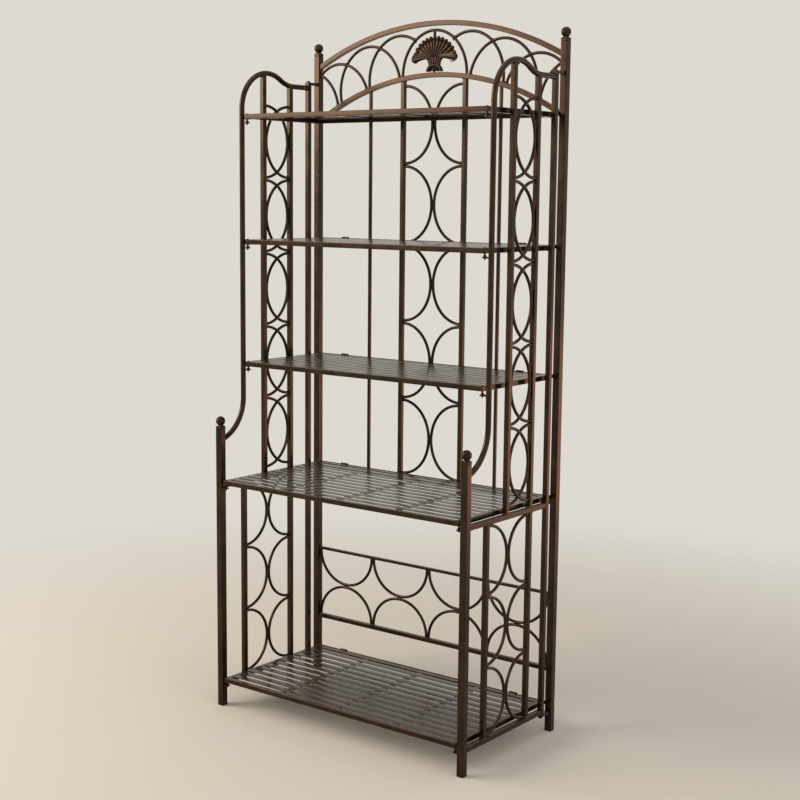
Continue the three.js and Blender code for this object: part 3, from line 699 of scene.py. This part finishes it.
class RACK_OT_fan(bpy.types.Operator):
    """Cast fan between the arches: a ribbed shell, two curled leaves, a neck and a rolled base"""
    bl_idname = "rack.fan"
    bl_label = "Cast fan"

    def execute(self, context):
        sizes = context.scene.rack_sizes
        low, high = corners_of("fan_ornament")
        foot = np.array([centre_of("lower_arch")[0], (low + high)[1] / 2, low[2]])
        thick = (high - low)[1] / 2
        hub = foot + Z * FAN_HUB
        parts = [self.shell(hub, thick)]
        for side in (-1, 1):
            parts += self.leaf(hub, side, thick)
        parts += self.base(foot - Z * HAIR, thick)
        stub_start, stub_end = foot[2] + 0.07, corners_of("arch_loops")[1][2] - sizes.rod * 2
        section = round_section(sizes.rod, sizes.rod_sides)
        parts.append(straight(section, [*foot[:2], stub_start], [*foot[:2], stub_end], Y))
        finished("fan_ornament", parts)
        return {"FINISHED"}

    @staticmethod
    def shell(hub, thick):
        """At each angle, a section from the hub to a scalloped rim and back. The rim is an oval of the two
        half sizes, less a tenth in the valleys between ribs. The front stands out by the sine of the way to
        the rim, plus a roll just inside it, less a groove between ribs."""
        wide, tall, ribs, spread = 0.0725, 0.0635, 13, math.radians(80)
        angle = np.linspace(-spread, spread, ribs * 16 + 1)[:, None]
        rib = np.abs(np.cos(angle / spread * ribs * QUARTER))
        way = np.linspace(0.05, 1, 30)[None, :]
        rim = (0.9 + 0.1 * rib ** 0.5) / np.hypot(np.sin(angle) / wide, np.cos(angle) / tall)
        radius = rim * way
        swell = 0.3 + 0.42 * np.sin(np.clip(way * 1.1, 0, 1) * math.pi) ** 0.7
        roll = 0.78 * np.exp(-((way - 0.9) / 0.075) ** 2)
        groove = 1 - (0.3 + 0.5 * way) * (1 - rib ** 0.7)
        close = np.sqrt(1.02 - way ** 14)
        front = thick * (swell + roll) * groove * close
        back = np.full_like(front, thick * 0.3) * close
        radius = np.concatenate([radius, radius[:, ::-1]], 1)
        depth = np.concatenate([-front, back[:, ::-1]], 1)
        rings = np.stack([radius * np.sin(angle), depth, radius * np.cos(angle)], -1)
        # The ribs' crests take the rubbed copper and the grooves keep the dark coat. This is partly wear on
        # the ridges and partly painted shade in the grooves.
        crest = np.concatenate([rib * (0.35 + 0.4 * (1 - way)), np.zeros_like(way + angle)], 1)
        return loft(hub + rings, crest)

    @staticmethod
    def leaf(hub, side, thick):
        """A curled leaf beside the shell: ridged circles, flattened from front to back, carried out from the
        hub along a curve that dips at its tip, growing almost to the tip, with a roll along its edge."""
        forward, widest, ridge_count, roll = 0.0008, 0.0125, 7, 0.0019
        way = np.linspace(0, 1, 34)
        out = 0.009 + 0.065 * way ** 0.9
        up = 0.012 + 0.001 * np.sin(way * math.pi) - 0.007 * way ** 2
        path = hub + np.column_stack([side * out, np.full(34, -forward), up])
        size = (0.004 + 0.0082 * way ** 0.8) * np.sqrt(1.001 - way ** 7)
        ridges = 1 + 0.1 * np.cos(np.arange(40) * math.tau / 40 * ridge_count)
        profile = round_section(1.0, 40)[0] * ridges[:, None] * [1, thick / widest]
        edge = oval(hub + X * side * 0.0590 + Z * 0.0065 - Y * thick * 0.55, Z * 0.0105, X * side * 0.012,
                    math.radians(-50), math.radians(215), steps=36)
        taper = np.sin(np.linspace(0.3, math.pi - 0.3, 37)) ** 0.5
        # The tops of the leaf's ridges take the rubbed copper. This leaves painted shade between them.
        return [carry((profile, np.clip(ridges - 1, 0, 1) * 6), path, Y, size),
                carry(round_section(roll, 10), edge, Y, taper)]

    @staticmethod
    def base(foot, thick):
        """A flared neck, fluted in front and behind by the sine of the flutes' angle to the fourth power, an
        outer and an inner roll that arch over the foot, and a boss between them."""
        flute_count, flute_depth = 9, 0.42
        half = np.array([0.0175, 0.0185, 0.0195, 0.0205, 0.0225, 0.0265, 0.030, 0.0325])[:, None]
        rise = np.array([0.004, 0.012, 0.018, 0.024, 0.029, 0.034, 0.038, 0.0425])[:, None]
        deep = thick * np.array([0.62, 0.66, 0.7, 0.7, 0.68, 0.64, 0.55, 0.3])[:, None]
        angle = -np.arange(144) * math.tau / 144
        flutes = 1 - flute_depth * np.sin(angle * flute_count) ** 4
        neck = np.stack([half * np.cos(angle), deep * np.sin(angle) * flutes, rise + 0 * angle], -1)
        start = foot + Z * 0.002
        outer = oval(start, Z * 0.0170, X * 0.0215, -QUARTER, QUARTER, steps=32)
        inner = oval(start - Y * thick * 0.35, Z * 0.0105, X * 0.0125, -QUARTER, QUARTER, steps=28)
        heavy = (round_section(0.0052, 16)[0] * [1, thick / 0.0052], np.zeros(16))
        light = (round_section(0.0026, 12)[0] * [1, thick * 0.7 / 0.0026], np.zeros(12))
        # The boss is turned upright and then tipped to face forwards
        upright, *faces = turned(dome(0.0062, thick * 1.15, 8), [0, 0, 0], sides=24)
        boss = upright[:, [0, 2, 1]] * [1, -1, 1] + foot + Z * 0.0066
        return [loft(foot + neck), carry(heavy, outer, Y), carry(light, inner, Y), (boss, *faces)]


class RACK_OT_back_bars(bpy.types.Operator):
    """Rails and upright bars of the back"""
    bl_idname = "rack.back_bars"
    bl_label = "Back bars and rails"

    def execute(self, context):
        sizes = context.scene.rack_sizes
        bars = {"back_mid_rail": sizes.side_bar, "lower_back_top_rail": sizes.thin_bar,
                "lower_back_bottom_rail": sizes.back_bar}
        for name, _ in SIDES:
            bars[f"back_thick_bar_{name}"] = sizes.back_bar
            bars[f"back_thin_bar_{name}"] = sizes.thin_bar
        for node, width in bars.items():
            finished(node, bar_parts(sizes, node, square_bar(sizes, width), ripples=9))
        return {"FINISHED"}


class RACK_OT_back_scrolls(bpy.types.Operator):
    """Half ovals of rod in the middle and at the bottom of the back"""
    bl_idname = "rack.back_scrolls"
    bl_label = "Back scrolls"

    def execute(self, context):
        sizes = context.scene.rack_sizes
        for node, along, across, count in (("back_scrollwork", Z, X, 5), ("lower_back_scrollwork", X, Z, 4)):
            finished(node, scroll_rows(sizes, node, along, across, count, tip_welds=True))
        return {"FINISHED"}


class RACK_OT_hinge_pins(bpy.types.Operator):
    """Headed pins of the side panels and the rods that the shelves turn on"""
    bl_idname = "rack.hinge_pins"
    bl_label = "Hinge pins and rods"

    def execute(self, context):
        sizes = context.scene.rack_sizes
        for name, _ in SIDES:
            for end, way in (("upper", 1), ("lower", -1)):
                node = f"{end}_hinge_pin_{name}"
                finished(node, [self.pin(*corners_of(node), way)])
        for number in SHELVES:
            node = f"shelf_{number}_hinge_rod"
            finished(node, bar_parts(sizes, node, round_bar(sizes.rod, 20, 14), ripples=6))
        return {"FINISHED"}

    @staticmethod
    def pin(low, high, way):
        """A pin turned with a softened tip and a domed head: radii, and heights from its tip."""
        shank, head, head_tall, rim, tip, soft = 0.0035, 0.005, 0.0045, 0.0018, 0.0006, 0.0004
        under = (high - low)[2] - head_tall
        profile = [[shank - tip, 0], [shank, tip], [shank, under], [head - soft, under],
                   [head, under + soft], *(dome(head, head_tall - rim, 8) + [0, under + rim])]
        base = [*(low + high)[:2] / 2, low[2] if way > 0 else high[2]]
        return turned(np.array(profile) * [1, way], base, sides=24)


class RACK_OT_side_posts(bpy.types.Operator):
    """Front posts with their catch plates, and the bored hinge posts"""
    bl_idname = "rack.side_posts"
    bl_label = "Side panels' posts"

    def execute(self, context):
        sizes = context.scene.rack_sizes
        for name, side in SIDES:
            x, y = centre_of(f"{name}_front_finial")[:2]
            tube = post_tube(sizes, x, y, corners_of(f"{name}_front_post")[1][2])
            finished(f"{name}_front_post", [tube, *catches(sizes, name, side, DEEP_SHELVES)])
            finished(f"{name}_rear_post", [self.bored(sizes, f"{name}_rear_post")])
        return {"FINISHED"}

    @staticmethod
    def bored(sizes, node):
        """The post's square rings, closed at each end by a ring of the hole's radius and the hole's wall."""
        low, high = corners_of(node)
        (square, _), _ = square_bar(sizes, sizes.side_bar)
        hole = PIN_HOLE * rays(np.arctan2(square[:, 1], square[:, 0]))
        deep, soft, rim = 0.03, 0.0004, square * 0.94
        end = [(hole, deep), (hole, 0), (rim, 0), (square, soft)]
        levels = [(line, low[2] + z) for line, z in end] + [(line, high[2] - z) for line, z in reversed(end)]
        middle = (low + high)[:2] / 2
        return loft(np.array([at_height(line + middle, z) for line, z in levels]))


class RACK_OT_bent_tubes(bpy.types.Operator):
    """Bent tubes of the side panels with their catch plates"""
    bl_idname = "rack.bent_tubes"
    bl_label = "Bent tubes"

    def execute(self, context):
        sizes = context.scene.rack_sizes
        section, outline = round_bar(sizes.bent_tube, 24, 20)
        slope, into_post = math.radians(17), 0.001
        for name, side in SIDES:
            node = f"{name}_bent_tube"
            path = self.path(sizes, name, node, into_post)
            parts = [carry(section, path, X)]
            for place, v in ((path[0], Z), (path[-1] + Y * into_post, Z / math.cos(slope))):
                parts.append(weld_ring(outline, place, X, v, sizes.weld, ripples=7))
            finished(node, parts + catches(sizes, name, side, (1, 2, 3)))
        return {"FINISHED"}

    @staticmethod
    def path(sizes, name, node, into_post):
        """Level from the hinge post, through a bend up into the hump, down the front leg, and through the
        wide bend into the front post. Each bend is part of a circle, in steps from first to last angle."""
        high = corners_of(node)[1]
        x = centre_of(f"{name}_rear_post")[0]
        leg = centre_of(f"{name}_lower_front_bar")[1]
        post = centre_of(f"{name}_front_finial")[1] + sizes.post / 2
        crown = high[2] - sizes.bent_tube
        flat = crown - sizes.bend_dip
        turn = math.acos(1 - sizes.bend_dip / 2 / sizes.bend)
        over = leg + sizes.bend
        reach = over + sizes.bend * math.sin(turn) * 2
        level = corners_of(f"{name}_front_post")[1][2] + sizes.foot_bend_rise
        foot_end = math.pi * 0.925
        curves = [(reach, flat + sizes.bend, sizes.bend, math.pi, math.pi + turn, 10),
                  (over, crown - sizes.bend, sizes.bend, turn, -QUARTER, 34),
                  (leg - sizes.foot_bend, level, sizes.foot_bend, QUARTER, foot_end, 24)]
        dip, hump, sweep = (oval(np.array([x, y, z]), Z * bend, Y * bend, first, last, steps)
                            for y, z, bend, first, last, steps in curves)
        path = np.concatenate([[[x, high[1] + HAIR, flat]], dip, hump[1:], sweep])
        return path[path[:, 1] > post - into_post]


class RACK_OT_side_bars(bpy.types.Operator):
    """Rails and upright bars of the side panels"""
    bl_idname = "rack.side_bars"
    bl_label = "Side bars and rails"

    def execute(self, context):
        sizes = context.scene.rack_sizes
        bars = ("mid_rail", "bottom_rail", "inner_front_bar", "inner_rear_bar", "lower_front_bar",
                "lower_rear_bar")
        for name, _ in SIDES:
            for bar in bars:
                node, welds = f"{name}_{bar}", (True, not bar.startswith("inner"))
                finished(node, bar_parts(sizes, node, square_bar(sizes, sizes.side_bar), 9, welds))
        return {"FINISHED"}


class RACK_OT_side_scrolls(bpy.types.Operator):
    """Half ovals of rod in the side panels"""
    bl_idname = "rack.side_scrolls"
    bl_label = "Side scrolls"

    def execute(self, context):
        sizes = context.scene.rack_sizes
        for name, _ in SIDES:
            for kind, count, share in (("upper", 5, 1.0), ("lower", 3, 0.5)):
                node = f"{name}_{kind}_scrollwork"
                finished(node, scroll_rows(sizes, node, Z, Y, count, share))
        return {"FINISHED"}


class RACK_OT_shelf_frames(bpy.types.Operator):
    """Square frames of the shelves with their hinge rings and lock pins"""
    bl_idname = "rack.shelf_frames"
    bl_label = "Shelf frames"

    def execute(self, context):
        sizes = context.scene.rack_sizes
        half, wall, into_seam = sizes.side_bar / 2, 0.0033, 0.001
        ring, bore = sizes.rod + wall, sizes.rod + HAIR
        for number in SHELVES:
            node = f"shelf_{number}_frame"
            hinge = HINGES[f"shelf_{number}_hinge"]
            level = shelf_level(number)
            front, rear = corners_of(node)[0][1] + half, hinge[1] + BITE - ring - half
            parts = [self.rails(sizes, front, rear, level)]
            for x in (-HINGE_RING_PLACE, HINGE_RING_PLACE):
                seam = [x, hinge[1] - ring + into_seam, hinge[2] - half]
                parts += [self.hinge_ring(hinge, x, ring, bore), bead("hinge_ring", seam, X, sizes.weld)]
            for side in (-1, 1):
                parts.append(self.lock_pin(side * LOCK_PIN_PLACE, front, level, half))
                for y, way in ((front, 1), (rear, -1)):
                    inner = np.array([side * (SHELF_HALF - half), y + way * half, level])
                    under = np.array([side * SHELF_HALF, y, level - half])
                    across = np.array([side, -way, 0])
                    parts += [bead("mitre", inner, Z, sizes.weld),
                              bead("mitre_under", under, across, sizes.weld)]
            finished(node, parts)
        return {"FINISHED"}

    @staticmethod
    def rails(sizes, front, rear, level):
        """A square profile taken round four mitred corners: at each corner the profile's first number moves
        the point along both sides at once, away from the middle."""
        (profile, edge), _ = square_bar(sizes, sizes.side_bar)
        away = np.array([[-1, -1], [1, -1], [1, 1], [-1, 1]])
        corners = np.array([[x * SHELF_HALF, front if y < 0 else rear] for x, y in away])
        flat = corners[:, None] + profile[None, :, :1] * away[:, None]
        height = np.broadcast_to(level + profile[:, 1:], (4, len(profile), 1))
        return loft(np.concatenate([flat, height], -1), edge, closed=True)

    @staticmethod
    def hinge_ring(hinge, x, ring, bore):
        """A short tube round the hinge rod: rings of points at its outer and inner radius, its outer edges
        a little softened."""
        half, soft, circle = 0.01, 0.0004, round_section(1.0, 28)[0]
        profile = [(-half, ring - soft), (soft - half, ring), (half - soft, ring), (half, ring - soft),
                   (half, bore), (-half, bore)]
        rings = [np.column_stack([np.full(28, x + out), hinge[1:] + radius * circle])
                 for out, radius in profile]
        return loft(np.array(rings), closed=True)

    @staticmethod
    def lock_pin(x, y, level, half):
        """A pin from over the rail down through the catch plate, turned with a collar that sits on the
        plate: radii and heights from its tip up to its domed cap."""
        seat, top = level - half - CATCH_DROP + HAIR, level + half
        pin, collar, cap, past_plate = 0.0025, 0.0045, 0.0036, 0.004
        tip = seat - HAIR - PLATE_THICK - past_plate
        profile = [[0.0012, tip], [0.0021, tip + 0.0006], [pin, tip + 0.0018], [pin, seat],
                   [collar - 0.0004, seat], [collar, seat + 0.0004], [collar, seat + 0.0024],
                   [collar - 0.0006, seat + 0.003], [pin, seat + 0.0034], [pin, top - 0.0005],
                   [cap, top - 0.0005], *(dome(cap, 0.0018, 5) + [0, top])]
        return turned(profile, [x, y, 0], sides=18)


class RACK_OT_shelf_slats(bpy.types.Operator):
    """Slats of the shelves on their three straps"""
    bl_idname = "rack.shelf_slats"
    bl_label = "Shelf slats"

    def execute(self, context):
        sizes = context.scene.rack_sizes
        wide, thick, corner, sunk = 0.016, 0.003, 0.12, 0.0012
        strap = (rounded_square(1.0, corner, 2)[0] * [wide, thick], np.zeros(12))
        for number in SHELVES:
            node = f"shelf_{number}_slats"
            low, high = corners_of(node)
            deep = (high - low)[1]
            count = round(deep / sizes.slat_pitch)
            space = (deep - sizes.slat * count) / (count + 1)
            parts = []
            for i in range(count):
                y = low[1] + space + sizes.slat / 2 + i * (sizes.slat + space)
                parts.append(self.slat(sizes, low[0], high[0], y, high[2]))
            z = high[2] - sunk - thick / 2
            for x in (-STRAP_PLACE, 0, STRAP_PLACE):
                parts.append(straight(strap, [x, low[1], z], [x, high[1], z], Z))
            finished(node, parts)
        return {"FINISHED"}

    @staticmethod
    def slat(sizes, start, end, y, top):
        """A flat bar with soft edges: its top is the crown times one less the square of the way to its edge,
        and its underside is flat."""
        half, thick, soft = sizes.slat / 2, 0.0016, 0.0004
        way = np.linspace(-1, 1, 11)
        over = np.column_stack([way * (half - soft), -sizes.slat_crown * way ** 2])
        edge = np.array([half, -sizes.slat_crown - soft])
        under = np.array([half - soft, -thick])
        outline = np.array([*over, edge, under, under * [-1, 1], edge * [-1, 1]])
        # The points along both long edges are rubbed: wear, and a painted highlight along those edges
        rubbed = np.zeros(len(outline))
        rubbed[[0, len(way) - 1, len(way), -1]] = 1
        rings = [np.column_stack([np.full(len(outline), x), [y, top] + outline])
                 for x in (start - HAIR, end + HAIR)]
        return loft(np.array(rings), rubbed)


def stand(thing, place, right, up, back):
    """Puts a lamp or the camera into the scene: its axes and its place are its matrix's columns."""
    bpy.context.scene.collection.objects.link(thing)
    matrix = np.eye(4)
    matrix[:3] = np.column_stack([right, up, back, place])
    thing.matrix_world = Matrix(matrix)


class RACK_OT_studio(bpy.types.Operator):
    """Pale floor, soft lights and the camera"""
    bl_idname = "rack.studio"
    bl_label = "Studio"

    def execute(self, context):
        scene = context.scene
        tones = scene.rack_colours
        self.floor(scene, tones)
        self.surroundings(scene, tones)
        # Name, place, aim, width, height, watts, tint, and whether it shows in the gloss alone
        lamps = [
            ("right_softbox", (2.9, -0.3, 1.5), (0, 0, 0.95), 1.6, 2.6, 12, "#fff0e0", False),
            ("top_softbox", (0.2, -0.4, 3.4), (0, 0, 0.8), 2.4, 2.0, 18, "#fff8f0", False),
            ("high_left_softbox", (-3.45, -2.75, 2.7), (0, 0.2, 1.5), 3.2, 2.0, 185, "#ffefd6", False),
            ("warm_softbox", (1.95, 2.25, 0.4), (0.4, 0, 0.4), 1.5, 0.8, 9, "#ffb080", True),
        ]
        for lamp in lamps:
            self.softbox(*lamp)
        self.camera(scene)
        scene.view_settings.view_transform = "Standard"
        return {"FINISHED"}

    @staticmethod
    def floor(scene, tones):
        """A flat square, and a matt floor paint that fades into the background far from the rack."""
        reach, fade_start, fade_end = 9.0, 0.9, 2.8
        corners = [(-reach, -reach, 0), (reach, -reach, 0), (reach, reach, 0), (-reach, reach, 0)]
        mesh = bpy.data.meshes.new("studio_floor")
        mesh.from_pydata(corners, [], [(0, 1, 2, 3)])
        made = bpy.data.materials.new("matt_floor_paint")
        tree = emptied(made)
        place = add_node(tree, "ShaderNodeTexCoord").outputs["Object"]
        far = add_node(tree, "ShaderNodeVectorMath", links={0: place}, operation="LENGTH").outputs["Value"]
        fade = add_node(tree, "ShaderNodeMapRange", {"From Min": fade_start, "From Max": fade_end},
                        {"Value": far}, interpolation_type="SMOOTHSTEP").outputs["Result"]
        paint = add_node(tree, "ShaderNodeBsdfPrincipled",
                         {"Base Color": (*tones.floor, 1), "Roughness": 0.6, "Specular IOR Level": 0.0})
        clear = add_node(tree, "ShaderNodeBsdfTransparent")
        mix = add_node(tree, "ShaderNodeMixShader",
                       links={0: fade, 1: paint.outputs[0], 2: clear.outputs[0]})
        add_node(tree, "ShaderNodeOutputMaterial", links={"Surface": mix.outputs[0]})
        mesh.materials.append(made)
        floor = bpy.data.objects.new("studio_floor", mesh)
        scene.collection.objects.link(floor)

    @staticmethod
    def surroundings(scene, tones):
        """The background that the camera and the gloss see, and a plain soft light for the rest."""
        world = bpy.data.worlds.new("studio")
        tree = emptied(world)
        seen = add_node(tree, "ShaderNodeLightPath").outputs
        shown = seen["Is Camera Ray"]
        for way in ("Is Glossy Ray", "Is Transmission Ray"):
            shown = add_node(tree, "ShaderNodeMath", links={0: shown, 1: seen[way]},
                             operation="MAXIMUM").outputs[0]
        light = add_node(tree, "ShaderNodeBackground", {"Color": (1, 0.98, 0.95, 1), "Strength": 0.5})
        backdrop = add_node(tree, "ShaderNodeBackground", {"Color": (*tones.backdrop, 1), "Strength": 1.0})
        mix = add_node(tree, "ShaderNodeMixShader",
                       links={0: shown, 1: light.outputs[0], 2: backdrop.outputs[0]})
        add_node(tree, "ShaderNodeOutputWorld", links={"Surface": mix.outputs[0]})
        scene.world = world

    @staticmethod
    def softbox(name, place, aim, wide, tall, power, tint, gloss_only):
        """A soft rectangular lamp that faces its aim with its upper side level."""
        lamp = bpy.data.lights.new(name, "AREA")
        lamp.shape = "RECTANGLE"
        lamp.size, lamp.size_y = wide, tall
        lamp.energy = power
        lamp.color = linear(tint)
        box = bpy.data.objects.new(name, lamp)
        box.visible_camera = False
        box.visible_diffuse = not gloss_only
        away = np.subtract(place, aim)
        away /= np.linalg.norm(away)
        side = np.cross(Z, away)
        side /= np.linalg.norm(side)
        stand(box, place, side, np.cross(away, side), away)

    @staticmethod
    def camera(scene):
        """The view that the rack was seen from: turned to the left, tipped down, and rolled slightly."""
        yaw, pitch, roll = np.radians(CAMERA_TURN)
        back = np.array([math.sin(yaw) * math.cos(pitch), -math.cos(yaw) * math.cos(pitch), math.sin(pitch)])
        right = np.array([math.cos(yaw), math.sin(yaw), 0])
        up = np.cross(back, right)
        lens = bpy.data.cameras.new("camera")
        lens.sensor_width = CAMERA_SENSOR
        lens.lens = CAMERA_LENS
        lens.clip_end = 100
        scene.camera = bpy.data.objects.new("camera", lens)
        level = math.cos(roll) * right + math.sin(roll) * up
        stand(scene.camera, CAMERA_PLACE, level, math.cos(roll) * up - math.sin(roll) * right, back)


PIECES = (
    RACK_OT_back_posts, RACK_OT_finials, RACK_OT_arches, RACK_OT_arch_loops, RACK_OT_fan, RACK_OT_back_bars,
    RACK_OT_back_scrolls, RACK_OT_hinge_pins, RACK_OT_side_posts, RACK_OT_bent_tubes, RACK_OT_side_bars,
    RACK_OT_side_scrolls, RACK_OT_shelf_frames, RACK_OT_shelf_slats, RACK_OT_studio,
)


class RACK_PT_panel(bpy.types.Panel):
    bl_idname = "RACK_PT_panel"
    bl_label = "Bakers rack"
    bl_space_type = "VIEW_3D"
    bl_region_type = "UI"
    bl_category = "Rack"

    def draw(self, context):
        for settings in (context.scene.rack_sizes, context.scene.rack_colours):
            for name in settings.bl_rna.properties.keys():
                if name not in ("rna_type", "name"):
                    self.layout.prop(settings, name)
        for piece in PIECES:
            self.layout.operator(piece.bl_idname)


CLASSES = (RackSizes, RackColours, *PIECES, RACK_PT_panel)


def register():
    for kind in CLASSES:
        bpy.utils.register_class(kind)
    bpy.types.Scene.rack_sizes = PointerProperty(type=RackSizes)
    bpy.types.Scene.rack_colours = PointerProperty(type=RackColours)


def unregister():
    del bpy.types.Scene.rack_colours
    del bpy.types.Scene.rack_sizes
    for kind in reversed(CLASSES):
        bpy.utils.unregister_class(kind)


def main():
    register()
    for piece in PIECES:
        getattr(bpy.ops.rack, piece.bl_idname.split(".")[1])()


if __name__ == "__main__":
    main()
